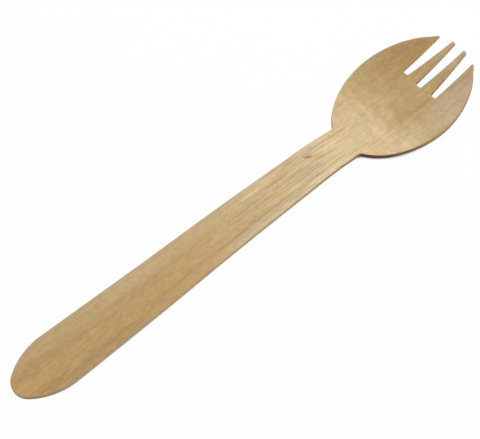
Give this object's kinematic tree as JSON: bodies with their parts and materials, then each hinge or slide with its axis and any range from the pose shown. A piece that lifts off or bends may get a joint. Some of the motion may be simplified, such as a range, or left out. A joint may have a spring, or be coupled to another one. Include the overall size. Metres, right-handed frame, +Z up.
{
  "type": "disposable wooden spork",
  "caption": "Flat tapering wooden handle with a rounded tail, widening into a shallow pressed bowl whose front is slotted into fork tines.",
  "frame": {"origin": "centre of the footprint, on the surface that the spork rests on", "axes": "+X runs from the tail to the tines, +Y across the handle, +Z up out of the open side of the bowl"},
  "size_m": [0.1608, 0.033, 0.0071],
  "materials": {
    "birch": "bare pressed veneer with a fine straight grain"
  },
  "bodies": {
    "root": {"spork": "birch"}
  },
  "joints": []
}
